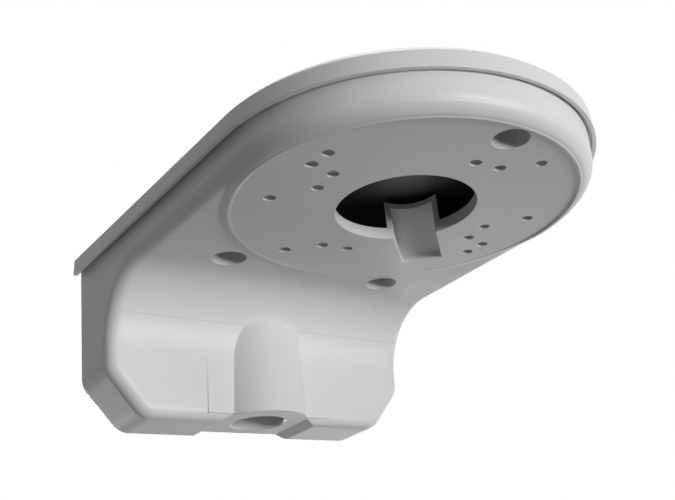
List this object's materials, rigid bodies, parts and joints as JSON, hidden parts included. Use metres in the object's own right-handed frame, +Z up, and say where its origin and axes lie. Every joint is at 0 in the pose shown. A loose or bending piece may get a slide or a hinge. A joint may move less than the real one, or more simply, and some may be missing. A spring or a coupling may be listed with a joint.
{
  "type": "camera junction box",
  "caption": "White cast wall bracket and junction box for a camera: round camera face with a cable opening under a covered arm, and a block at the wall with a conduit thread.",
  "frame": {"origin": "on the wall plane, in the middle of the back plate's width, level with the camera face", "axes": "+Z up, +Y into the wall, +X to the right of someone who faces the wall; the arm reaches out along -Y"},
  "size_m": [0.139, 0.1925, 0.071],
  "materials": {
    "casting_coat": "white powder coat on die-cast aluminium, satin",
    "seal_rubber": "moulded silicone rubber, matt",
    "stainless": "plain stainless steel"
  },
  "bodies": {
    "root": {"housing": "casting_coat", "top_cover": "casting_coat", "cover_seal": "seal_rubber", "cover_screw_front": "stainless", "screw_washer_front": "stainless", "screw_seal_front": "seal_rubber", "cover_screw_rear_left": "stainless", "screw_washer_rear_left": "stainless", "screw_seal_rear_left": "seal_rubber", "cover_screw_rear_right": "stainless", "screw_washer_rear_right": "stainless", "screw_seal_rear_right": "seal_rubber", "earth_washer": "stainless", "earth_screw": "stainless"}
  },
  "joints": []
}
